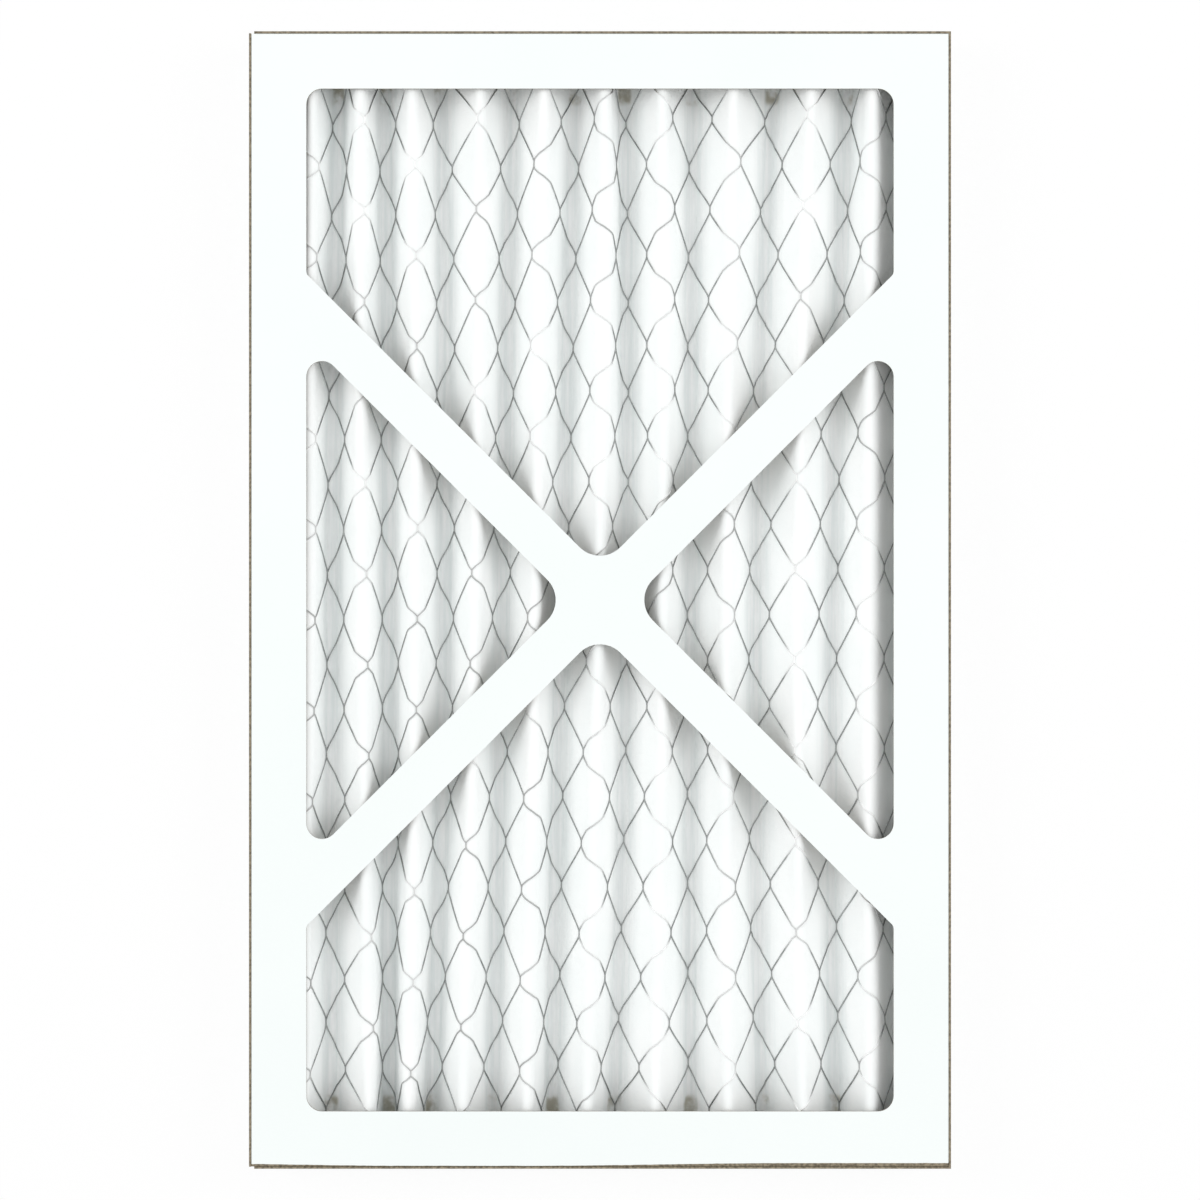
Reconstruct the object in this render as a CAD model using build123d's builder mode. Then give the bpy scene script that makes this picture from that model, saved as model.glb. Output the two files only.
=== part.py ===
from build123d import *
from math import acos, atan2, ceil, cos, degrees, hypot, isclose, pi, sin, sqrt
import os

# A disposable pleated panel air filter. A pleated non-woven sheet, backed by expanded
# metal, is glued into two die-cut paperboard trays that nest into each other. Each tray
# has a panel with four windows and an X brace. The filter lies on its back panel: X is
# its width, Y its length and Z its depth, with the origin in the middle of the back.

# ---- the filter ----
filter_width = 245.0
filter_length = 397.0
filter_depth = 19.0

# ---- die-cut paperboard ----
board = 0.7  # thickness of the board
flange = 20.0  # panel left between the outside and the windows
strap_width = 16.0  # straps of the X brace
window_corner = 5.5  # windows' corners beside the outside of the panel
elbow_corner = 2.5  # where a strap leaves the side flange at a wide angle
hub_corner = 10.0  # the four windows' corners round the middle of the X
fold_radius = 0.5  # outside of a creased fold
tab_length = 30.0  # corner tabs, folded from the side walls behind the end walls
tab_clearance = 0.5  # between a tab and the end wall that drops beside it
corner_relief = 1.8  # end walls stop this far short of the left corners

# ---- adhesive ----
glue_film = 0.3  # squeezed film between the straps and the pleats
glue_width = 6.0  # width of the line of adhesive along a strap
end_seal = 1.5  # bead between the pleat ends and the end walls
side_seal = 1.5  # bead between the sheet's sides and the side walls
side_seal_height = 6.0

# ---- pleated sheet ----
media = 2.0  # thickness of the non-woven
crest_roll = 3.6  # radius of a front fold, at the middle of the sheet
valley_roll = 3.0  # radius of a back fold, at the middle of the sheet
pack_lean = 3.8  # how far the folds drift to the right from the bottom to the top
left_lip = 6.5  # flat edge of the sheet beyond its first valley
right_lip = 3.0
# From the first valley to the last, each fold's distance from the one before it. The
# folds were pushed together by hand, so they are uneven.
fold_steps = (
    (11.0, 8.3), (11.1, 7.7), (9.1, 10.1), (10.6, 12.1), (9.6, 11.7), (10.3, 8.9),
    (13.3, 11.7), (12.9, 13.4), (13.3, 11.9), (9.4, 6.7), (8.5, 8.0),
)

# ---- expanded metal ----
wire = 0.4  # thickness of the sheet that was slit and pulled
wire_gap = 0.05  # between the metal and the media
strand_width = 0.6
diamond_width = 31.0  # across a diamond, seen from the front, before it is fitted to the sheet
diamond_length = 60.0  # along a diamond
crest_bends = 2  # bends that the metal takes on each side of a front fold
valley_bends = 1  # and on each side of a back fold

# ---- what follows from these ----
nest_width = filter_width - 2 * board  # the front tray fits inside the back one
nest_length = filter_length - 2 * board
room_width = nest_width - 2 * board  # inside both trays
room_length = nest_length - 2 * board
pack_width = room_width - 2 * side_seal
pack_length = room_length - 2 * end_seal
window_width = filter_width - 2 * flange
window_length = filter_length - 2 * flange
strap_half = strap_width / sqrt(2)  # half a strap, measured along X or Y
front_inside = filter_depth - board

wire_crest = front_inside - glue_film  # top of the metal on a front fold
media_crest = wire_crest - wire - wire_gap
media_foot = board + glue_film  # underside of a back fold
crest_height = media_crest - media / 2 - crest_roll  # centre line of a front fold
valley_height = media_foot + media / 2 + valley_roll  # centre line of a back fold


# ---- the die-cut windows, alike in both trays ----
def near(level):
    """Picks the corners that lie this far above or below the middle of a panel."""
    return lambda corner: isclose(abs(corner.Y), level, abs_tol=0.01)


with BuildSketch() as windows:
    Rectangle(window_width, window_length)
    Rectangle(2 * filter_width, strap_width, rotation=45, mode=Mode.SUBTRACT)
    Rectangle(2 * filter_width, strap_width, rotation=-45, mode=Mode.SUBTRACT)
    fillet(windows.vertices().sort_by_distance((0, 0, 0))[:4], hub_corner)
    fillet(windows.vertices().filter_by(near(window_width / 2 + strap_half)), elbow_corner)
    fillet(windows.vertices().filter_by(near(window_width / 2 - strap_half)), window_corner)
    fillet(windows.vertices().filter_by(near(window_length / 2)), window_corner)


# ---- the back tray: its walls stand outside the front tray's ----
wall_end = nest_length / 2  # the side walls fold into their tabs here

with BuildPart() as back_frame:
    with BuildSketch():
        Rectangle(filter_width, filter_length)
        add(windows.sketch, mode=Mode.SUBTRACT)
    extrude(amount=board)
    with BuildSketch(Plane.XY.offset(board)):
        Rectangle(filter_width, filter_length)
        Rectangle(nest_width, nest_length, mode=Mode.SUBTRACT)
        with Locations((-filter_width / 2, wall_end), (-filter_width / 2, -wall_end)):
            Rectangle(2 * corner_relief, 2 * board, mode=Mode.SUBTRACT)
        with Locations(((board - filter_width) / 2, 0)):
            Rectangle(board, nest_length)
    extrude(amount=filter_depth - board)
    with BuildSketch(Plane.XY.offset(board)):
        for side in (-1, 1):
            for end in (-1, 1):
                with Locations((side * (nest_width - tab_length) / 2, end * (wall_end - board / 2))):
                    Rectangle(tab_length, board)
    extrude(amount=front_inside - board)
    fillet(back_frame.faces().sort_by(Axis.Z)[0].outer_wire().edges(), fold_radius)


# ---- the front tray: its walls drop between the back tray's tabs ----
with BuildPart() as front_frame:
    with BuildSketch(Plane.XY.offset(front_inside)):
        Rectangle(nest_width, nest_length)
        add(windows.sketch, mode=Mode.SUBTRACT)
    extrude(amount=board)
    with BuildSketch(Plane.XY.offset(board)):
        with GridLocations(nest_width - board, 0, 2, 1):
            Rectangle(board, room_length)
        with GridLocations(0, nest_length - board, 1, 2):
            Rectangle(nest_width - 2 * (tab_length + tab_clearance), board)
    extrude(amount=front_inside - board)
    fillet(front_frame.faces().sort_by(Axis.Z)[-1].outer_wire().edges(), fold_radius)


# ---- the folds of the pleated sheet ----
up = Vector(0, 1)
pack_end = Plane((-pack_lean / 2, -pack_length / 2, 0), x_dir=(1, 0, 0), z_dir=(0, -1, 0))
along_folds = Vector(pack_lean, pack_length, 0)


def fold_centres():
    """The centre of each rolled fold across the pack: valley, crest and so on to a valley."""
    steps = [step for pair in fold_steps for step in pair]
    spread = (pack_width - left_lip - right_lip) / sum(steps)
    across = left_lip - pack_width / 2
    centres = [Vector(across, valley_height)]
    for number, step in enumerate(steps):
        across += step * spread
        centres.append(Vector(across, crest_height if number % 2 == 0 else valley_height))
    return centres


def flank_normal(crest, valley, reach):
    """Unit normal of the flank that rolls off a crest into a valley, their radii summing to reach."""
    run = valley - crest
    turn = acos(reach / run.length)
    heading = atan2(run.Y, run.X) + (turn if run.X > 0 else -turn)
    return Vector(cos(heading), sin(heading))


def folds(crest_radius, valley_radius):
    """Each fold's centre, the radius on its outside and the normals where it starts and ends."""
    centres = fold_centres()
    normals = [up]
    for number in range(len(centres) - 1):
        crest, valley = centres[number : number + 2]
        if number % 2 == 0:
            crest, valley = valley, crest
        normals.append(flank_normal(crest, valley, crest_radius + valley_radius))
    normals.append(up)
    for number, centre in enumerate(centres):
        radius = crest_radius if number % 2 else -valley_radius
        yield centre, radius, normals[number], normals[number + 1]


def skin(level):
    """A skin of the sheet, level above its middle: rolled folds with straight flanks between."""
    reach = filter_width / 2 + abs(pack_lean)
    with BuildLine() as line:
        here = Vector(-reach, valley_height - valley_roll + level)
        for centre, radius, start, finish in folds(crest_roll + level, valley_roll - level):
            rolls_from = centre + start * radius
            rolls_to = centre + finish * radius
            Line(here, rolls_from)
            if start == up or finish == up:
                middle = centre + (start + finish).normalized() * radius
            else:
                middle = centre + up * radius
            ThreePointArc(rolls_from, middle, rolls_to)
            here = rolls_to
        Line(here, (reach, here.Y))
    return line.line


front_skin = skin(media / 2)
back_skin = skin(-media / 2)

with BuildPart() as pleated_media:
    with BuildSketch(pack_end):
        with BuildLine():
            add(front_skin)
            add(back_skin)
            Line(front_skin @ 0, back_skin @ 0)
            Line(front_skin @ 1, back_skin @ 1)
        make_face()
    extrude(amount=along_folds.length, dir=along_folds)
    Box(pack_width, 2 * pack_length, 2 * filter_depth, mode=Mode.INTERSECT)


# ---- the expanded metal, pleated with the sheet ----
def bends(centre, radius, start, finish, count):
    """Corners of the metal on one side of a fold, outside the roll that they touch."""
    first = atan2(start.Y, start.X)
    turn = (atan2(finish.Y, finish.X) - first) / count
    for number in range(count if abs(turn) > 0 else 0):
        heading = first + turn * (number + 0.5)
        yield centre + Vector(cos(heading), sin(heading)) * (radius / cos(turn / 2))


def creases(height):
    """Corners of the metal, height above its underside, from the left of the sheet to the right."""
    crest_radius = crest_roll + media / 2 + wire_gap
    valley_radius = valley_roll - media / 2 - wire_gap
    inset = cos(pi / 4 / valley_bends)  # keeps the corners in an upright valley off the media
    corners = []
    for centre, radius, start, finish in folds(crest_radius + height, valley_radius * inset - height):
        count = crest_bends if radius > 0 else valley_bends
        corners += bends(centre, radius, start, up, count)
        corners += bends(centre, radius, up, finish, count)
    return corners


def fitted(length, diamond):
    """The size of a diamond when a whole number and a half of them fill a length of the sheet.

    A strand then runs into each of its corners, so no corner comes away."""
    return length / (round(length / diamond - 0.5) + 0.5)


metal_left = creases(0)[0].X
metal_right = creases(0)[-1].X
across = fitted(metal_right - metal_left, diamond_width)
along = fitted(pack_length, diamond_length)
strand_angle = degrees(atan2(along, across))
strand_reach = hypot(filter_width, filter_length)
strand_count = 2 * ceil(strand_reach / across) + 1

with BuildPart() as wire_support:
    with BuildSketch(pack_end):
        Polygon(*creases(0), *reversed(creases(wire)), align=None)
    extrude(amount=along_folds.length, dir=along_folds)
    with BuildSketch():
        with Locations((metal_left, -pack_length / 2)):
            with GridLocations(across, 0, strand_count, 1):
                Rectangle(2 * strand_reach, strand_width, rotation=strand_angle)
        with Locations((metal_left, pack_length / 2)):
            with GridLocations(across, 0, strand_count, 1):
                Rectangle(2 * strand_reach, strand_width, rotation=-strand_angle)
        Rectangle(pack_width, pack_length, mode=Mode.INTERSECT)
    extrude(amount=filter_depth, mode=Mode.INTERSECT)


# ---- adhesive ----
def end_bead(end):
    """The bead that the cut ends of the pleats stand in, at one end of the trays."""
    with BuildPart() as bead:
        with BuildSketch(Plane.XY.offset(board)):
            with Locations((0, end * (room_length - end_seal) / 2)):
                Rectangle(room_width, end_seal)
        extrude(amount=front_inside - board)
    return bead


def side_bead(side):
    """The bead in the corner between a side wall and the back panel, beside the sheet's lip."""
    with BuildPart() as bead:
        with BuildSketch(Plane.XY.offset(board)):
            with Locations((side * (room_width - side_seal) / 2, 0)):
                Rectangle(side_seal, pack_length)
        extrude(amount=side_seal_height - board)
    return bead


def strap_glue(level):
    """The lines of adhesive along both straps of a brace, from this level up."""
    with BuildPart() as film:
        with BuildSketch(Plane.XY.offset(level)):
            Rectangle(2 * filter_width, glue_width, rotation=45)
            Rectangle(2 * filter_width, glue_width, rotation=-45)
            Rectangle(window_width, window_length, mode=Mode.INTERSECT)
        extrude(amount=glue_film)
    return film


end_seal_top = end_bead(1)
end_seal_bottom = end_bead(-1)
side_seal_left = side_bead(-1)
side_seal_right = side_bead(1)
strap_glue_front = strap_glue(wire_crest)
strap_glue_back = strap_glue(board)

pieces = {
    "back_frame": back_frame,
    "front_frame": front_frame,
    "pleated_media": pleated_media,
    "wire_support": wire_support,
    "end_seal_top": end_seal_top,
    "end_seal_bottom": end_seal_bottom,
    "side_seal_left": side_seal_left,
    "side_seal_right": side_seal_right,
    "strap_glue_front": strap_glue_front,
    "strap_glue_back": strap_glue_back,
}

os.makedirs("parts", exist_ok=True)
for name, piece in pieces.items():
    piece.part.label = name
    export_step(piece.part, f"parts/{name}.step")
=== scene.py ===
from math import asin, atan2, cos, hypot, pi, sin

import bpy
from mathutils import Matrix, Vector


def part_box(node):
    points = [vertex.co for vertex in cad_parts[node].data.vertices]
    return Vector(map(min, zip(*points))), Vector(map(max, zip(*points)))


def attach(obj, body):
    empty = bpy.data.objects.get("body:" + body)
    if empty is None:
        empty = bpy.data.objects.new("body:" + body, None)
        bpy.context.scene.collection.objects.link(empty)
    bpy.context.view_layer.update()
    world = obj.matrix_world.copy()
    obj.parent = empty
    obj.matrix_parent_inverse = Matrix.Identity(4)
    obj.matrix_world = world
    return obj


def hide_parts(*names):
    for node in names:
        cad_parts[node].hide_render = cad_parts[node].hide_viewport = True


# A pleated panel air filter lying on its back panel. The paperboard trays and the adhesive
# are the solids of the frame. The pleated sheet and the expanded metal are made here, the
# metal laid on the same folds as the sheet. Sizes are in metres, unless a comment says mm.

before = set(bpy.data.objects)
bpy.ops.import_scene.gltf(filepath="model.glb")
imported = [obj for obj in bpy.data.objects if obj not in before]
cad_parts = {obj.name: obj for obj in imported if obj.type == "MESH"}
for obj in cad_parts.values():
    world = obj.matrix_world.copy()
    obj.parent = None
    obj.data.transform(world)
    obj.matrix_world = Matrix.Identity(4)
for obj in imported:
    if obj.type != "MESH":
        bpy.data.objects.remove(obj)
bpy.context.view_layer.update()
MM = 0.001

# ---- the trays ----
# the walls of the back tray end at FACE, level with the front panel's outer face
HALF_WIDTH, HALF_LENGTH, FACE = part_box("back_frame")[1]
BOARD = 0.0007  # thickness of the board
FLANGE = 0.02  # panel left between the outside and the windows
WINDOW_HALF_WIDTH = HALF_WIDTH - FLANGE
WINDOW_HALF_LENGTH = HALF_LENGTH - FLANGE
STRAP_HALF = 0.008  # half the width of a strap of the X brace
DIAGONAL = 0.7071  # share of a step along X or Y that leads away from a strap

# ---- the pleated sheet ----
PACK_HALF_WIDTH, PACK_HALF_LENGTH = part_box("pleated_media")[1][:2]
SHEET_THICKNESS = 0.002
CREST_ROLL = 2.0  # mm, radius of a front fold at the middle of the sheet's thickness
VALLEY_ROLL = 3.4  # mm, radius of a back fold there
CREST_HEIGHT = 14.55  # mm, centre of a front fold's roll
VALLEY_HEIGHT = 5.4  # mm, centre of a back fold's roll
ROLL_STEPS = 12  # steps round a fold
FLANK_STEPS = 5  # steps down a flank
ROWS = 90  # rows of points along the folds
# folds across the sheet in mm, valley, crest and so on to a valley, uneven as gathered by hand
FOLDS_BOTTOM = (
    -116.9, -104.0, -95.5, -81.1, -74.9, -66.7, -59.1, -47.6, -37.5, -25.3, -16.7, -4.1,
    5.5, 19.6, 32.2, 44.7, 57.0, 70.6, 83.0, 94.4, 106.5, 112.2, 118.0,
)
FOLDS_MIDDLE = (
    -115.4, -102.7, -94.9, -83.2, -75.1, -64.5, -55.1, -43.8, -34.7, -22.7, -13.6, -0.4,
    9.3, 22.0, 32.1, 44.2, 55.3, 69.4, 82.6, 93.9, 107.0, 112.4, 118.4,
)
FOLDS_TOP = (
    -113.7, -101.2, -93.2, -83.9, -76.0, -65.5, -56.2, -42.0, -31.5, -19.8, -9.4, 1.6,
    8.9, 21.9, 32.8, 46.5, 60.4, 73.4, 87.0, 95.1, 107.5, 112.8, 118.6,
)
STATION = 0.164  # the bottom and the top row are this far from the middle one
STATIONS = ((FOLDS_BOTTOM, -STATION), (FOLDS_MIDDLE, 0.0), (FOLDS_TOP, STATION))
HELD_REACH = 0.032  # how far from a strap or a flange the pleats are still drawn in
BULGE = 0.5  # share of the pinch by which they bulge beyond that
PINCH_FOOT, PINCH_HEAD = 0.004, 0.013  # heights between which the pinch sets in
LOOSE_FROM, LOOSE_REACH = -0.004, 0.02  # distances between which they begin to waver
WAVER_SCALE = 38.0  # of the noise that the pleats waver by
WAVER_STRETCH = (1.0, 0.45, 1.0)
WAVER_GAIN = 2.4

# ---- the expanded metal ----
FIRST_ACROSS = -0.0099  # the first diamond on the flat sheet, across from its left edge
FIRST_ALONG = 0.01005  # and along from its middle
SKEW_CENTRE = 0.21  # place across the flat sheet where the skew shifts nothing
COLUMNS = 19  # diamonds across and along, enough to run off the sheet all round
RANKS = 15
STRAND_STEP = 0.0009  # length of strand between two of its points


# ---- node trees ----
def socket_of(sockets, name):
    """The usable socket of that name, or at that place among the usable ones."""
    usable = [socket for socket in sockets if socket.enabled]
    if isinstance(name, int):
        return usable[name]
    return next(socket for socket in usable if socket.name == name)


def node(tree, kind, inputs=None, out=0, **settings):
    """A new node with its settings and inputs, and one of its outputs to go on from."""
    made = tree.nodes.new(kind)
    for name, value in settings.items():
        setattr(made, name, value)
    for name, value in (inputs or {}).items():
        socket = socket_of(made.inputs, name)
        if isinstance(value, bpy.types.NodeSocket):
            tree.links.new(value, socket)
        else:
            socket.default_value = value
    return socket_of(made.outputs, out) if out is not None else made


def maths(tree, operation, *values):
    return node(tree, "ShaderNodeMath", dict(enumerate(values)), operation=operation)


def vectors(tree, operation, *values):
    return node(tree, "ShaderNodeVectorMath", dict(enumerate(values)), operation=operation)


def scaled(tree, vector, amount):
    return node(tree, "ShaderNodeVectorMath", {0: vector, "Scale": amount}, operation="SCALE")


def vector_of(tree, x=0.0, y=0.0, z=0.0):
    return node(tree, "ShaderNodeCombineXYZ", {"X": x, "Y": y, "Z": z})


def axes_of(tree, vector):
    """The three coordinates of a vector."""
    apart = node(tree, "ShaderNodeSeparateXYZ", {"Vector": vector}, None)
    return [apart.outputs[axis] for axis in "XYZ"]


def ramp(tree, value, start, finish, low=0.0, high=1.0):
    """Turns smoothly from low to high as the value goes from start to finish."""
    names = ("Value", "From Min", "From Max", "To Min", "To Max")
    inputs = dict(zip(names, (value, start, finish, low, high)))
    return node(tree, "ShaderNodeMapRange", inputs, interpolation_type="SMOOTHSTEP")


def geometry_tree(name, inputs):
    """An empty geometry tree with named inputs, and its input and output nodes."""
    tree = bpy.data.node_groups.new(name, "GeometryNodeTree")
    for label, kind, value in inputs:
        socket = tree.interface.new_socket(label, in_out="INPUT", socket_type=kind)
        if value is not None:
            socket.default_value = value
    tree.interface.new_socket("Geometry", in_out="OUTPUT", socket_type="NodeSocketGeometry")
    return tree, tree.nodes.new("NodeGroupInput"), tree.nodes.new("NodeGroupOutput")


def joined(tree, *shapes):
    join = node(tree, "GeometryNodeJoinGeometry", None, None)
    for shape in shapes:
        tree.links.new(shape, join.inputs[0])
    return join.outputs[0]


def end_tree(tree, shape, finish, result):
    """Makes the shape real, coats it and gives it out."""
    real = node(tree, "GeometryNodeRealizeInstances", {"Geometry": shape})
    coated = node(tree, "GeometryNodeSetMaterial", {"Geometry": real, "Material": finish})
    tree.links.new(coated, result.inputs["Geometry"])


def build(name, tree, values):
    """Runs a geometry tree and returns what it makes as a plain mesh object."""
    carrier = bpy.data.objects.new(name + "_carrier", bpy.data.meshes.new(name + "_carrier"))
    bpy.context.collection.objects.link(carrier)
    modifier = carrier.modifiers.new("build", "NODES")
    modifier.node_group = tree
    for item in tree.interface.items_tree:
        if item.item_type == "SOCKET" and item.in_out == "INPUT" and item.name in values:
            modifier[item.identifier] = values[item.name]
    graph = bpy.context.evaluated_depsgraph_get()
    mesh = bpy.data.meshes.new_from_object(carrier.evaluated_get(graph), depsgraph=graph)
    mesh.name = name
    bpy.data.objects.remove(carrier)
    made = bpy.data.objects.new(name, mesh)
    bpy.context.collection.objects.link(made)
    return made


# ---- the folds ----
def flank_normal(crest, valley):
    """Direction of the upper normal of the flank that rolls off a crest into a valley."""
    run = abs(valley[0] - crest[0])
    drop = crest[1] - valley[1]
    slope = atan2(drop, run) + asin(min((CREST_ROLL + VALLEY_ROLL) / hypot(run, drop), 1.0))
    return pi / 2 + slope if valley[0] < crest[0] else pi / 2 - slope


def between(first, last, share):
    return tuple(a + (b - a) * share for a, b in zip(first, last))


def fold_profile(folds):
    """Points of the middle of the sheet across one station, with the same number for any folds."""
    centres = [
        (x, CREST_HEIGHT if number % 2 else VALLEY_HEIGHT) for number, x in enumerate(folds)
    ]
    headings = [pi / 2]
    for number in range(len(centres) - 1):
        pair = centres[number : number + 2]
        crest, valley = pair if number % 2 else pair[::-1]
        headings.append(flank_normal(crest, valley))
    headings.append(pi / 2)
    rolls = []
    for number, (x, z) in enumerate(centres):
        radius = CREST_ROLL if number % 2 else -VALLEY_ROLL
        start, finish = headings[number : number + 2]
        steps = [start + (finish - start) * step / ROLL_STEPS for step in range(ROLL_STEPS + 1)]
        rolls.append([(x + radius * cos(a), z + radius * sin(a)) for a in steps])
    edge = PACK_HALF_WIDTH / MM
    foot = VALLEY_HEIGHT - VALLEY_ROLL
    points = [(-edge, foot)]
    for roll in rolls + [[(edge, foot)]]:
        last = points[-1]
        points += [between(last, roll[0], step / FLANK_STEPS) for step in range(1, FLANK_STEPS)]
        points += roll
    return points


def fold_guides():
    """A curve with one spline for each station: bottom, middle and top."""
    guides = bpy.data.curves.new("fold_guides", "CURVE")
    guides.dimensions = "3D"
    for folds, y in STATIONS:
        points = fold_profile(folds)
        spline = guides.splines.new("POLY")
        spline.points.add(len(points) - 1)
        for point, (x, z) in zip(spline.points, points):
            point.co = (x * MM, y, z * MM, 1)
    made = bpy.data.objects.new("fold_guides", guides)
    bpy.context.collection.objects.link(made)
    return made


def guide_value(tree, guides, value, index, kind):
    """A value at one point of the guides."""
    inputs = {"Geometry": guides, "Value": value, "Index": index}
    return node(tree, "GeometryNodeSampleIndex", inputs, data_type=kind, domain="POINT")


def through_stations(tree, guides, place, count, t):
    """The point where a parabola through the three stations passes, t stations from the middle."""
    half_t = maths(tree, "MULTIPLY", t, 0.5)
    below = maths(tree, "MULTIPLY", half_t, maths(tree, "SUBTRACT", t, 1.0))
    above = maths(tree, "MULTIPLY", half_t, maths(tree, "ADD", t, 1.0))
    middle = maths(tree, "SUBTRACT", 1.0, maths(tree, "MULTIPLY", t, t))
    position = node(tree, "GeometryNodeInputPosition")
    total = None
    for station, weight in enumerate((below, middle, above)):
        index = maths(tree, "ADD", place, maths(tree, "MULTIPLY", count, float(station)))
        at_station = guide_value(tree, guides, position, index, "FLOAT_VECTOR")
        part = scaled(tree, at_station, weight)
        total = part if total is None else vectors(tree, "ADD", total, part)
    return total


def drawn_in(tree, pinch, waver, seed):
    """How far each point moves: pinched beside the straps and flanges, and wavering between."""
    position = node(tree, "GeometryNodeInputPosition")
    x, y, z = axes_of(tree, position)
    wide, long = maths(tree, "ABSOLUTE", x), maths(tree, "ABSOLUTE", y)
    off_line = maths(tree, "MULTIPLY", maths(tree, "SUBTRACT", long, wide), DIAGONAL)
    off_strap = maths(tree, "SUBTRACT", maths(tree, "ABSOLUTE", off_line), STRAP_HALF)
    off_end = maths(tree, "SUBTRACT", WINDOW_HALF_LENGTH, long)
    nearest = maths(tree, "MINIMUM", off_strap, off_end)

    held = ramp(tree, nearest, 0.0, HELD_REACH, 1.0, -BULGE)
    high = ramp(tree, z, PINCH_FOOT, PINCH_HEAD)
    sideways = vectors(tree, "MULTIPLY", node(tree, "GeometryNodeInputNormal"), (1.0, 0.0, 0.0))
    squeeze = maths(tree, "MULTIPLY", maths(tree, "MULTIPLY", held, high), pinch)
    pinched = scaled(tree, sideways, maths(tree, "MULTIPLY", squeeze, -1.0))

    loose = ramp(tree, nearest, LOOSE_FROM, LOOSE_REACH)
    stretched = vectors(tree, "MULTIPLY", position, WAVER_STRETCH)
    noise = node(
        tree, "ShaderNodeTexNoise",
        {"Vector": stretched, "W": seed, "Scale": WAVER_SCALE, "Detail": 2.0},
        "Fac", noise_dimensions="4D",
    )
    gain = maths(tree, "MULTIPLY", loose, WAVER_GAIN)
    sway = maths(tree, "MULTIPLY", maths(tree, "SUBTRACT", noise, 0.5), gain)
    wavered = vector_of(tree, maths(tree, "MULTIPLY", sway, waver))
    return vectors(tree, "ADD", pinched, wavered)


def folded_surface_group():
    """The middle surface of the sheet: three stations of folds, joined along the length.

    It keeps, for each point, its place on the flat sheet: across and along."""
    tree, given, result = geometry_tree(
        "folded_surface",
        [
            ("Fold Guides", "NodeSocketObject", None),
            ("Half Length", "NodeSocketFloat", PACK_HALF_LENGTH),
            ("Station", "NodeSocketFloat", STATION),
            ("Rows", "NodeSocketInt", ROWS),
            ("Pinch", "NodeSocketFloat", 0.0005),
            ("Waver", "NodeSocketFloat", 0.0004),
            ("Seed", "NodeSocketFloat", 4.0),
        ],
    )
    guides = node(tree, "GeometryNodeObjectInfo", {"Object": given.outputs["Fold Guides"]}, "Geometry")
    size = node(
        tree, "GeometryNodeAttributeDomainSize", {"Geometry": guides}, "Point Count", component="CURVE"
    )
    count = maths(tree, "DIVIDE", size, float(len(STATIONS)))
    rows = given.outputs["Rows"]
    grid = node(tree, "GeometryNodeMeshGrid", {"Vertices X": count, "Vertices Y": rows}, "Mesh")

    # the grid's points run along each fold line, then across to the next
    index = node(tree, "GeometryNodeInputIndex")
    place = maths(tree, "FLOOR", maths(tree, "DIVIDE", maths(tree, "ADD", index, 0.5), rows))
    row = maths(tree, "SUBTRACT", index, maths(tree, "MULTIPLY", place, rows))
    share = maths(tree, "DIVIDE", row, maths(tree, "SUBTRACT", rows, 1.0))
    from_middle = maths(tree, "SUBTRACT", maths(tree, "MULTIPLY", share, 2.0), 1.0)
    y = maths(tree, "MULTIPLY", from_middle, given.outputs["Half Length"])
    t = maths(tree, "DIVIDE", y, given.outputs["Station"])
    x, _, z = axes_of(tree, through_stations(tree, guides, place, count, t))
    laid = node(
        tree, "GeometryNodeSetPosition", {"Geometry": grid, "Position": vector_of(tree, x, y, z)}
    )

    # the place across the flat sheet is the length along the middle station
    length = node(tree, "GeometryNodeSplineParameter", None, "Length")
    across = guide_value(tree, guides, length, maths(tree, "ADD", place, count), "FLOAT")
    laid = node(
        tree, "GeometryNodeStoreNamedAttribute",
        {"Geometry": laid, "Name": "flat", "Value": vector_of(tree, across, y)},
        data_type="FLOAT_VECTOR", domain="POINT",
    )
    offset = drawn_in(tree, *(given.outputs[name] for name in ("Pinch", "Waver", "Seed")))
    laid = node(tree, "GeometryNodeSetPosition", {"Geometry": laid, "Offset": offset})
    tree.links.new(laid, result.inputs["Geometry"])
    return tree


def folded_surface(tree, group, given):
    made = tree.nodes.new("GeometryNodeGroup")
    made.node_tree = group
    for name in ("Fold Guides", "Rows"):
        tree.links.new(given.outputs[name], made.inputs[name])
    return made.outputs["Geometry"]


# ---- the pleated sheet ----
def pleated_sheet(guides, group, finish):
    """The folded surface, thickened to both sides."""
    tree, given, result = geometry_tree(
        "pleated_sheet",
        [
            ("Fold Guides", "NodeSocketObject", None),
            ("Rows", "NodeSocketInt", ROWS),
            ("Thickness", "NodeSocketFloat", SHEET_THICKNESS),
            ("Finish", "NodeSocketMaterial", None),
        ],
    )
    middle = folded_surface(tree, group, given)
    thickness = given.outputs["Thickness"]
    normal = node(tree, "GeometryNodeInputNormal")
    down = scaled(tree, normal, maths(tree, "MULTIPLY", thickness, -0.5))
    back = node(tree, "GeometryNodeSetPosition", {"Geometry": middle, "Offset": down})
    front = node(
        tree, "GeometryNodeExtrudeMesh", {"Mesh": back, "Offset Scale": thickness, "Individual": False},
        "Mesh", mode="FACES",
    )
    turned = node(tree, "GeometryNodeFlipFaces", {"Mesh": back})
    both = joined(tree, turned, front)
    closed = node(tree, "GeometryNodeMergeByDistance", {"Geometry": both, "Distance": 0.00001})
    smooth = node(tree, "GeometryNodeSetShadeSmooth", {"Geometry": closed, "Shade Smooth": True})
    end_tree(tree, smooth, given.outputs["Finish"], result)
    return build("pleated_sheet", tree, {"Fold Guides": guides, "Rows": ROWS, "Finish": finish})


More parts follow.
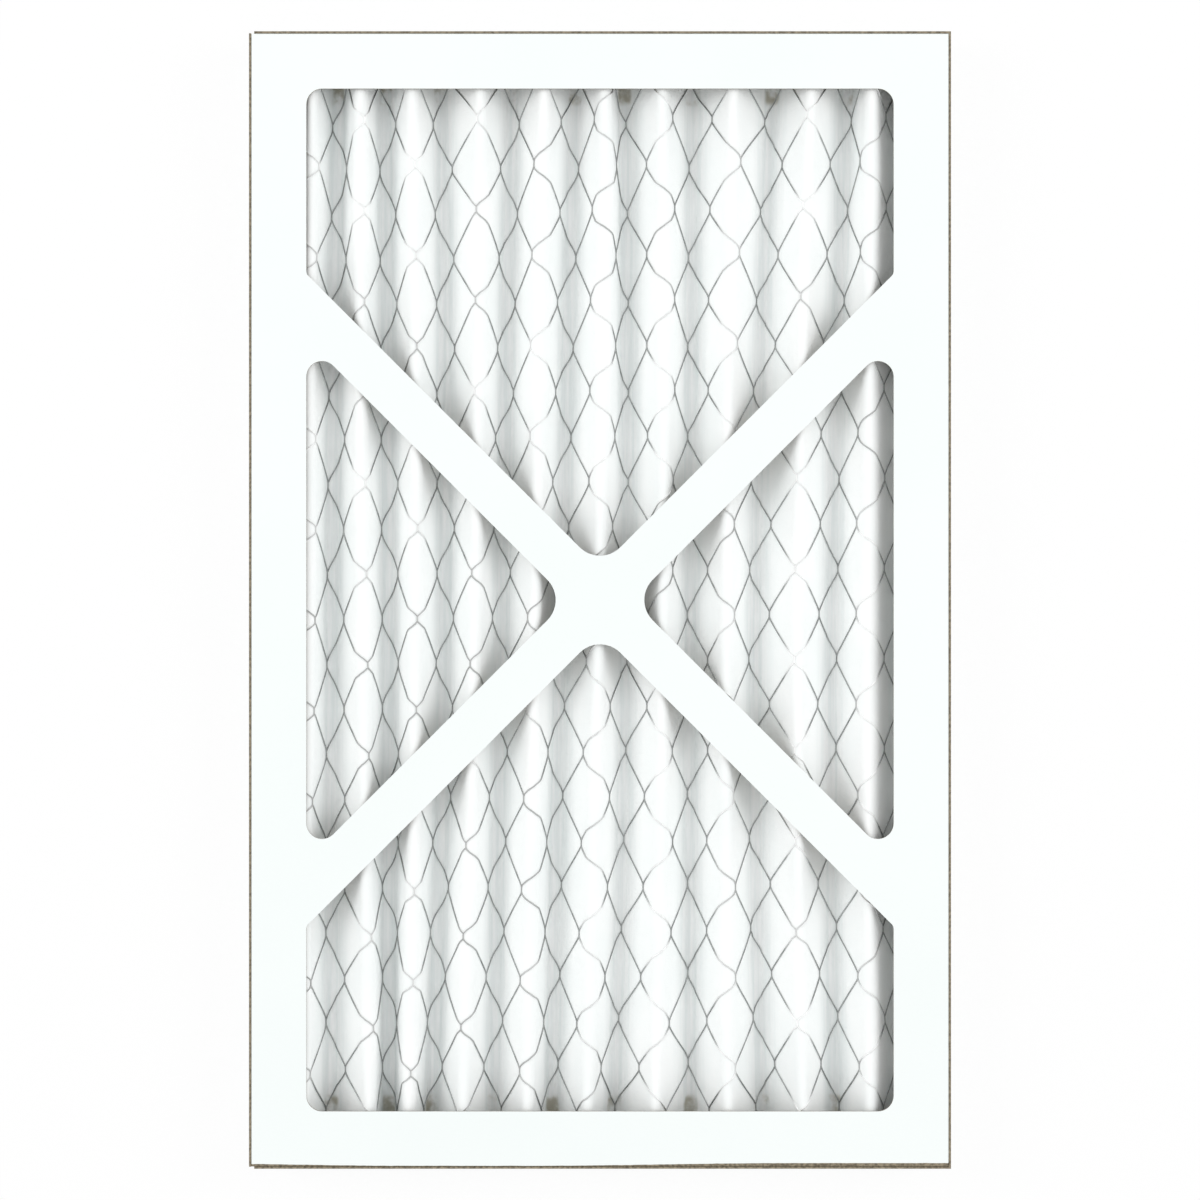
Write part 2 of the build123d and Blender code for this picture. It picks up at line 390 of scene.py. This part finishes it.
# ---- the expanded metal ----
def metal_cell(tree, half_wide, half_long, half_knuckle, bend):
    """A knuckle, and the two strands that rise from it and leave and join it upright."""
    foot = vector_of(tree, y=maths(tree, "MULTIPLY", half_knuckle, -1.0))
    head = vector_of(tree, y=half_knuckle)
    curves = [node(tree, "GeometryNodeCurvePrimitiveLine", {"Start": foot, "End": head}, "Curve")]
    rise = maths(tree, "SUBTRACT", half_long, half_knuckle)
    upright = vector_of(tree, y=bend)
    for side in (-1.0, 1.0):
        reach = vector_of(tree, maths(tree, "MULTIPLY", half_wide, side), rise)
        strand = node(
            tree, "GeometryNodeCurvePrimitiveBezierSegment",
            {"Start": head, "Start Handle": vectors(tree, "ADD", head, upright),
             "End Handle": vectors(tree, "SUBTRACT", reach, upright), "End": reach},
            "Curve", mode="POSITION",
        )
        curves.append(strand)
    return joined(tree, *curves)


def staggered_spots(tree, wide, long, half_wide, half_long, first_across, first_along):
    """Two grids of points over the flat sheet, the second half a diamond on from the first."""
    grids = []
    for stagger in (0.0, 1.0):
        grid = node(
            tree, "GeometryNodeMeshGrid",
            {"Size X": maths(tree, "MULTIPLY", wide, float(COLUMNS - 1)),
             "Size Y": maths(tree, "MULTIPLY", long, float(RANKS - 1)),
             "Vertices X": COLUMNS, "Vertices Y": RANKS},
            "Mesh",
        )
        to_middle = maths(tree, "MULTIPLY", half_wide, stagger + COLUMNS - 1.0)
        shift = vector_of(
            tree,
            maths(tree, "ADD", first_across, to_middle),
            maths(tree, "ADD", first_along, maths(tree, "MULTIPLY", half_long, stagger)),
        )
        grids.append(node(tree, "GeometryNodeTransform", {"Geometry": grid, "Translation": shift}))
    return joined(tree, *grids)


def laid_on_folds(tree, strands, surface, above_middle):
    """Strands drawn on the flat sheet, moved to the same place on the folded surface."""
    position = node(tree, "GeometryNodeInputPosition")
    strands = node(
        tree, "GeometryNodeStoreNamedAttribute", {"Geometry": strands, "Name": "place", "Value": position},
        data_type="FLOAT_VECTOR", domain="POINT",
    )
    flat, place = (
        node(tree, "GeometryNodeInputNamedAttribute", {"Name": name}, "Attribute", data_type="FLOAT_VECTOR")
        for name in ("flat", "place")
    )
    point, normal = (
        node(
            tree, "GeometryNodeSampleUVSurface",
            {"Mesh": surface, "Value": value, "UV Map": flat, "Sample UV": place},
            None, data_type="FLOAT_VECTOR",
        )
        for value in (position, node(tree, "GeometryNodeInputNormal"))
    )
    outside = node(tree, "FunctionNodeBooleanMath", {0: point.outputs["Is Valid"]}, operation="NOT")
    strands = node(
        tree, "GeometryNodeDeleteGeometry", {"Geometry": strands, "Selection": outside}, domain="POINT"
    )
    above = scaled(tree, socket_of(normal.outputs, "Value"), above_middle)
    seat = vectors(tree, "ADD", socket_of(point.outputs, "Value"), above)
    return node(tree, "GeometryNodeSetPosition", {"Geometry": strands, "Position": seat})


def expanded_metal(guides, group, finish):
    """A sheet of diamonds slit and stretched from one sheet, laid on the folds."""
    tree, given, result = geometry_tree(
        "expanded_metal",
        [
            ("Fold Guides", "NodeSocketObject", None),
            ("Rows", "NodeSocketInt", ROWS),
            ("Diamond Width", "NodeSocketFloat", 0.02416),
            ("Diamond Length", "NodeSocketFloat", 0.03179),
            ("Knuckle", "NodeSocketFloat", 0.0018),
            ("Bend", "NodeSocketFloat", 0.001),
            ("Skew", "NodeSocketFloat", 0.007),
            ("Strand", "NodeSocketFloat", 0.00038),
            ("Above Middle", "NodeSocketFloat", 0.00122),
            ("First Across", "NodeSocketFloat", 0.0),
            ("First Along", "NodeSocketFloat", 0.0),
            ("Finish", "NodeSocketMaterial", None),
        ],
    )
    surface = folded_surface(tree, group, given)
    wide, long = given.outputs["Diamond Width"], given.outputs["Diamond Length"]
    half_wide, half_long = maths(tree, "MULTIPLY", wide, 0.5), maths(tree, "MULTIPLY", long, 0.5)
    half_knuckle = maths(tree, "MULTIPLY", given.outputs["Knuckle"], 0.5)
    cell = metal_cell(tree, half_wide, half_long, half_knuckle, given.outputs["Bend"])
    first = (given.outputs["First Across"], given.outputs["First Along"])
    spots = staggered_spots(tree, wide, long, half_wide, half_long, *first)
    strands = node(tree, "GeometryNodeInstanceOnPoints", {"Points": spots, "Instance": cell})
    strands = node(tree, "GeometryNodeRealizeInstances", {"Geometry": strands})
    strands = node(
        tree, "GeometryNodeResampleCurve", {"Curve": strands, "Length": STRAND_STEP}, mode="LENGTH"
    )

    # the sheet of metal lies slightly askew on the sheet of fibre
    across = axes_of(tree, node(tree, "GeometryNodeInputPosition"))[0]
    climb = maths(tree, "MULTIPLY", maths(tree, "SUBTRACT", across, SKEW_CENTRE), given.outputs["Skew"])
    strands = node(
        tree, "GeometryNodeSetPosition", {"Geometry": strands, "Offset": vector_of(tree, y=climb)}
    )

    strands = laid_on_folds(tree, strands, surface, given.outputs["Above Middle"])
    section = node(
        tree, "GeometryNodeCurvePrimitiveQuadrilateral",
        {"Width": given.outputs["Strand"], "Height": given.outputs["Strand"]}, "Curve",
    )
    metal = node(
        tree, "GeometryNodeCurveToMesh", {"Curve": strands, "Profile Curve": section, "Fill Caps": True}
    )
    end_tree(tree, metal, given.outputs["Finish"], result)
    return build(
        "expanded_metal", tree,
        {"Fold Guides": guides, "Rows": ROWS, "Finish": finish,
         "First Across": FIRST_ACROSS, "First Along": FIRST_ALONG},
    )


# ---- finishes ----
WHITE_COAT = (0.895, 0.935, 0.925, 1.0)
WHITE_COAT_CLOUD = (0.88, 0.925, 0.915, 1.0)
KRAFT_DARK = (0.13, 0.107, 0.073, 1.0)
KRAFT_LIGHT = (0.32, 0.272, 0.192, 1.0)
FIBRE_CLOUD = (0.93, 0.96, 0.955, 1.0)
FIBRE_PALE = (0.97, 0.985, 0.98, 1.0)
# painted shade low in the pleats, and its lighter streaks
FIBRE_VALLEY_SHADE = (0.86, 0.9, 0.895, 1.0)
FIBRE_VALLEY_SHADE_STREAK = (0.98, 0.99, 0.985, 1.0)
FIBRE_END_BROWN = (0.36, 0.33, 0.23, 1.0)
METAL_OXIDE_DARK = (0.29, 0.305, 0.3, 1.0)
METAL_OXIDE_LIGHT = (0.45, 0.465, 0.46, 1.0)
# painted highlight on the strands over the front folds, dimmer and brighter in patches
METAL_CREST_GLINT_DIM = (0.46, 0.465, 0.46, 1.0)
METAL_CREST_GLINT_BRIGHT = (0.95, 0.955, 0.95, 1.0)
ADHESIVE_DARK = (0.2, 0.15, 0.06, 1.0)
ADHESIVE_LIGHT = (0.36, 0.28, 0.14, 1.0)
COAT = 0.00012  # depth of the white coating at a cut edge
RIM = 0.00008  # depth of the cut rim of a wall
EDGE_SLACK = 0.0001  # a face this far outside a window's edge still counts as cut
BOTTOM_BROWN_REACH = 0.00095  # how far the brown reaches in from the bottom fold at a corner: kraft edge and painted shadow of the gap between the end walls
BOTTOM_BROWN_RAGGED = 0.0003  # and how far that edge strays
END_BROWN_START = 0.0033  # brown starts to show this far inside the windows' ends
END_BROWN_FULL = 0.0007


def finish_tree(name, roughness, specular):
    """A material with its shader, the place on the piece, and the piece's normal."""
    material = bpy.data.materials.new(name)
    material.use_nodes = True
    tree = material.node_tree
    shader = tree.nodes["Principled BSDF"]
    shader.inputs["Roughness"].default_value = roughness
    shader.inputs["Specular IOR Level"].default_value = specular
    coords = tree.nodes.new("ShaderNodeTexCoord")
    return material, tree, shader, coords.outputs["Object"], coords.outputs["Normal"]


def mix_colours(tree, share, first, second):
    inputs = {"Factor": share, "A": first, "B": second}
    return node(tree, "ShaderNodeMix", inputs, "Result", data_type="RGBA")


def mottled(tree, pattern, first, second, start=0.3, finish=0.7):
    """The first colour turning into the second as a pattern rises."""
    return mix_colours(tree, ramp(tree, pattern, start, finish), first, second)


def grain(tree, place, scale, detail=4.0, stretch=(1.0, 1.0, 1.0), rough=0.5):
    """Noise on the piece, from 0 to 1."""
    at = vectors(tree, "MULTIPLY", place, stretch)
    inputs = {"Vector": at, "Scale": scale, "Detail": detail, "Roughness": rough}
    return node(tree, "ShaderNodeTexNoise", inputs, "Fac")


def bump(tree, shader, height, strength, distance):
    made = node(tree, "ShaderNodeBump", {"Strength": strength, "Distance": distance, "Height": height})
    tree.links.new(made, shader.inputs["Normal"])


def within(tree, x, y, half_width, half_length):
    """1 inside an upright rectangle round the middle, and 0 outside it."""
    return maths(
        tree, "MULTIPLY",
        maths(tree, "LESS_THAN", maths(tree, "ABSOLUTE", x), half_width),
        maths(tree, "LESS_THAN", maths(tree, "ABSOLUTE", y), half_length),
    )


def cut_at_windows(tree, x, y, normal):
    """1 on the faces cut through the board round the windows, and 0 elsewhere."""
    facing = axes_of(tree, normal)[2]
    steep = maths(tree, "LESS_THAN", maths(tree, "ABSOLUTE", facing), 0.5)
    windows = within(tree, x, y, WINDOW_HALF_WIDTH + EDGE_SLACK, WINDOW_HALF_LENGTH + EDGE_SLACK)
    return maths(tree, "MULTIPLY", steep, windows)


def bottom_fold_brown_and_gap_shade(tree, x, y, place):
    """1 along the bottom fold, most towards the corners: kraft edge and painted shadow of the gap between
    the trays' end walls.
    """
    from_bottom = maths(tree, "ADD", y, HALF_LENGTH - BOARD)
    off_centre = maths(tree, "ABSOLUTE", maths(tree, "ADD", x, 0.045))
    corner = ramp(tree, off_centre, 0.02, 0.11)
    reach = maths(tree, "MULTIPLY", maths(tree, "ADD", corner, 0.35), BOTTOM_BROWN_REACH)
    band_wobble = maths(tree, "SUBTRACT", grain(tree, place, 260.0), 0.5)
    ragged = maths(tree, "MULTIPLY", band_wobble, BOTTOM_BROWN_RAGGED)
    return maths(tree, "LESS_THAN", from_bottom, maths(tree, "ADD", reach, ragged))


def front_kraft(tree, place, normal):
    """1 where the front tray shows its kraft: inside, at the cuts, and along the bottom fold, where the
    brown is partly painted shadow of the gap between the end walls.
    """
    x, y, z = axes_of(tree, place)
    inside = maths(tree, "LESS_THAN", z, FACE - 0.5 * BOARD)
    below_coat = maths(tree, "LESS_THAN", z, FACE - COAT)
    cut = maths(tree, "MULTIPLY", cut_at_windows(tree, x, y, normal), below_coat)
    brown = maths(tree, "MAXIMUM", inside, cut)
    # along the bottom fold: kraft edge and painted shadow of the gap between the end walls
    return maths(tree, "MAXIMUM", brown, bottom_fold_brown_and_gap_shade(tree, x, y, place))


def back_kraft(tree, place, normal):
    """1 where the back tray shows its kraft: inside, at the cuts and on the rim of its walls."""
    x, y, z = axes_of(tree, place)
    rim = maths(tree, "GREATER_THAN", z, FACE - RIM)
    walls = within(tree, x, y, HALF_WIDTH - 0.5 * BOARD, HALF_LENGTH - 0.5 * BOARD)
    inside = maths(tree, "MULTIPLY", walls, maths(tree, "GREATER_THAN", z, 0.5 * BOARD))
    above_coat = maths(tree, "GREATER_THAN", z, COAT)
    cut = maths(tree, "MULTIPLY", cut_at_windows(tree, x, y, normal), above_coat)
    return maths(tree, "MAXIMUM", maths(tree, "MAXIMUM", rim, inside), cut)


def board_finish(name, kraft_places):
    """Clay-coated white, and brown kraft at the places given."""
    material, tree, shader, place, normal = finish_tree(name, 0.5, 0.35)
    brown = kraft_places(tree, place, normal)
    cloud = grain(tree, place, 14.0, 3.0)
    fuzz = grain(tree, place, 900.0, 5.0)
    white = mottled(tree, cloud, WHITE_COAT_CLOUD, WHITE_COAT)
    kraft = mottled(tree, fuzz, KRAFT_DARK, KRAFT_LIGHT)
    tree.links.new(mix_colours(tree, brown, white, kraft), shader.inputs["Base Color"])
    rough = maths(tree, "ADD", maths(tree, "MULTIPLY", brown, 0.35), ramp(tree, cloud, 0.2, 0.8, 0.46, 0.56))
    tree.links.new(rough, shader.inputs["Roughness"])
    drawn_out = grain(tree, place, 420.0, 6.0, (1.0, 2.6, 1.0))
    fibres = maths(tree, "ADD", drawn_out, maths(tree, "MULTIPLY", fuzz, 0.6))
    bump(tree, shader, fibres, 0.12, 0.0004)
    return material


def brown_at_pleat_ends(tree, place, y, z):
    """Share of brown painted at the pleat ends, low in the valleys."""
    ends = (WINDOW_HALF_LENGTH - END_BROWN_START, WINDOW_HALF_LENGTH - END_BROWN_FULL)
    near_end = ramp(tree, maths(tree, "ABSOLUTE", y), *ends)
    low = ramp(tree, z, 0.0055, 0.0035)
    end_spots = ramp(tree, grain(tree, place, 150.0, 4.0), 0.42, 0.66)
    end_brown = maths(tree, "MULTIPLY", maths(tree, "MULTIPLY", near_end, low), end_spots)
    return maths(tree, "MULTIPLY", end_brown, 0.75)


def sheet_finish():
    """Soft white non-woven with tangled fibres, and painted shade deep in the pleats, greyer and streaked.
    """
    material, tree, shader, place, _ = finish_tree("filter_media", 0.95, 0.15)
    _, y, z = axes_of(tree, place)
    cloud = grain(tree, place, 70.0, 5.0, (1.0, 0.5, 1.0), 0.6)
    streaks = grain(tree, place, 700.0, 4.0, (1.0, 0.03, 0.5), 0.6)
    unshaded_fibre = mottled(tree, cloud, FIBRE_CLOUD, FIBRE_PALE)
    valley_shade = mottled(tree, streaks, FIBRE_VALLEY_SHADE, FIBRE_VALLEY_SHADE_STREAK)
    # painted shade: greyer towards the bottom of the pleats
    tint = mottled(tree, z, valley_shade, unshaded_fibre, 0.003, 0.012)
    # brown in spots at the pleat ends, low in the valleys
    tint = mix_colours(tree, brown_at_pleat_ends(tree, place, y, z), tint, FIBRE_END_BROWN)
    tree.links.new(tint, shader.inputs["Base Color"])
    shader.inputs["Sheen Weight"].default_value = 0.15
    along = grain(tree, place, 1500.0, 6.0, (1.0, 0.25, 1.0), 0.7)
    across = grain(tree, place, 1100.0, 6.0, (0.3, 1.0, 0.6), 0.7)
    fibres = maths(tree, "ADD", along, across)
    bump(tree, shader, maths(tree, "ADD", fibres, cloud), 0.2, 0.0004)
    return material


def metal_finish():
    """Thin dull metal with grey oxide, and a painted highlight in patches over the front folds."""
    material, tree, shader, place, _ = finish_tree("expanded_metal", 0.45, 0.5)
    shader.inputs["Metallic"].default_value = 0.5
    patches = grain(tree, place, 320.0, 5.0)
    glint_patches = grain(tree, place, 16.0, 2.0)
    dull = mottled(tree, patches, METAL_OXIDE_DARK, METAL_OXIDE_LIGHT)
    crest_glint = mottled(tree, glint_patches, METAL_CREST_GLINT_DIM, METAL_CREST_GLINT_BRIGHT, 0.35, 0.65)
    height = axes_of(tree, place)[2]
    # painted highlight: the strands turn lighter high on the front folds, where they catch the light
    colour = mottled(tree, height, dull, crest_glint, 0.0135, 0.0168)
    tree.links.new(colour, shader.inputs["Base Color"])
    tree.links.new(ramp(tree, patches, 0.2, 0.8, 0.36, 0.6), shader.inputs["Roughness"])
    bump(tree, shader, grain(tree, place, 2400.0, 3.0), 0.15, 0.0002)
    return material


def adhesive_finish():
    """Amber hot-melt, unevenly thick."""
    material, tree, shader, place, _ = finish_tree("hot_melt", 0.35, 0.45)
    lumps = grain(tree, place, 240.0, 4.0)
    tree.links.new(mottled(tree, lumps, ADHESIVE_DARK, ADHESIVE_LIGHT), shader.inputs["Base Color"])
    tree.links.new(ramp(tree, lumps, 0.2, 0.8, 0.25, 0.5), shader.inputs["Roughness"])
    bump(tree, shader, lumps, 0.3, 0.0008)
    return material


def paint_solids(material, *names):
    for name in names:
        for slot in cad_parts[name].material_slots:
            slot.material = material


# ---- floor, light and camera ----
WHITE = (1.0, 1.0, 1.0, 1.0)
FLOOR_GREY = (0.92, 0.92, 0.92, 1.0)
FLOOR_HALF = 1.5
FLOOR_DROP = 0.00005  # keeps the floor clear of the back panel's face
FLOOR_GLOW = 0.85  # share of the floor's own light in what the camera sees of it
SKY = 0.86  # strength of the light from all round
SKY_SEEN = 1.0  # and of what is seen of it
SOFTBOX = 0.9  # across
SOFTBOX_ASIDE, SOFTBOX_ALONG, SOFTBOX_UP = 1.3, 0.3, 1.0
LEFT_POWER, RIGHT_POWER = 5.4, 5.2  # in watts
CAMERA_DISTANCE = 0.8
CAMERA_VIEW = 0.4188  # width of the view at the front face
SENSOR = 36.0  # mm


def seen_directly(tree, *kinds):
    """1 for a ray of one of the kinds given, and 0 for any other."""
    ray = tree.nodes.new("ShaderNodeLightPath")
    seen = ray.outputs[kinds[0]]
    for kind in kinds[1:]:
        seen = maths(tree, "MAXIMUM", seen, ray.outputs[kind])
    return seen


def floor_finish():
    """Matt white that glows to the camera, so the floor is as white as the sky."""
    material = bpy.data.materials.new("floor")
    material.use_nodes = True
    tree = material.node_tree
    shader = tree.nodes["Principled BSDF"]
    shader.inputs["Base Color"].default_value = FLOOR_GREY
    shader.inputs["Roughness"].default_value = 0.9
    glow = node(tree, "ShaderNodeEmission", {"Color": WHITE, "Strength": 1.0})
    seen = seen_directly(tree, "Is Camera Ray", "Is Glossy Ray", "Is Transmission Ray")
    lit = node(tree, "ShaderNodeMixShader", {"Fac": maths(tree, "MULTIPLY", seen, FLOOR_GLOW)}, None)
    tree.links.new(shader.outputs[0], lit.inputs[1])
    tree.links.new(glow, lit.inputs[2])
    tree.links.new(lit.outputs[0], tree.nodes["Material Output"].inputs["Surface"])
    return material


def floor():
    mesh = bpy.data.meshes.new("floor")
    corners = [(x * FLOOR_HALF, y * FLOOR_HALF, 0) for x, y in ((-1, -1), (1, -1), (1, 1), (-1, 1))]
    mesh.from_pydata(corners, [], [(0, 1, 2, 3)])
    made = bpy.data.objects.new("floor", mesh)
    made.location.z = -FLOOR_DROP
    bpy.context.collection.objects.link(made)
    made.data.materials.append(floor_finish())


def softbox(name, place, power):
    """A round softbox that looks at the middle of the filter."""
    light = bpy.data.lights.new(name, "AREA")
    light.shape = "DISK"
    light.size = SOFTBOX
    light.energy = power
    made = bpy.data.objects.new(name, light)
    made.location = place
    made.rotation_euler = Vector(place).to_track_quat("Z", "Y").to_euler()
    bpy.context.collection.objects.link(made)


def lights():
    world = bpy.data.worlds.new("studio")
    world.use_nodes = True
    tree = world.node_tree
    background = tree.nodes["Background"]
    background.inputs["Color"].default_value = WHITE
    seen = seen_directly(tree, "Is Camera Ray", "Is Glossy Ray")
    strength = maths(tree, "ADD", SKY, maths(tree, "MULTIPLY", seen, SKY_SEEN - SKY))
    tree.links.new(strength, background.inputs["Strength"])
    bpy.context.scene.world = world
    # low on both sides, so the pleats are bright down to half their depth
    softbox("left_softbox", (-SOFTBOX_ASIDE, SOFTBOX_ALONG, SOFTBOX_UP), LEFT_POWER)
    softbox("right_softbox", (SOFTBOX_ASIDE, SOFTBOX_ALONG, SOFTBOX_UP), RIGHT_POWER)


def camera():
    lens = bpy.data.cameras.new("camera")
    lens.sensor_width = SENSOR
    lens.lens = SENSOR * CAMERA_DISTANCE / CAMERA_VIEW
    lens.clip_start = 0.05
    made = bpy.data.objects.new("camera", lens)
    made.location = (0.0, 0.0, FACE + CAMERA_DISTANCE)
    bpy.context.collection.objects.link(made)
    bpy.context.scene.camera = made


# ---- assembly ----
guides = fold_guides()
group = folded_surface_group()

sheet = pleated_sheet(guides, group, sheet_finish())
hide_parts("pleated_media")
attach(sheet, "root")

wires = expanded_metal(guides, group, metal_finish())
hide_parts("wire_support")
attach(wires, "root")
bpy.data.objects.remove(guides)

paint_solids(board_finish("front_board", front_kraft), "front_frame")
paint_solids(board_finish("back_board", back_kraft), "back_frame")
paint_solids(
    adhesive_finish(),
    "end_seal_top", "end_seal_bottom", "side_seal_left", "side_seal_right",
    "strap_glue_front", "strap_glue_back",
)

floor()
lights()
camera()
bpy.context.scene.view_settings.view_transform = "Standard"
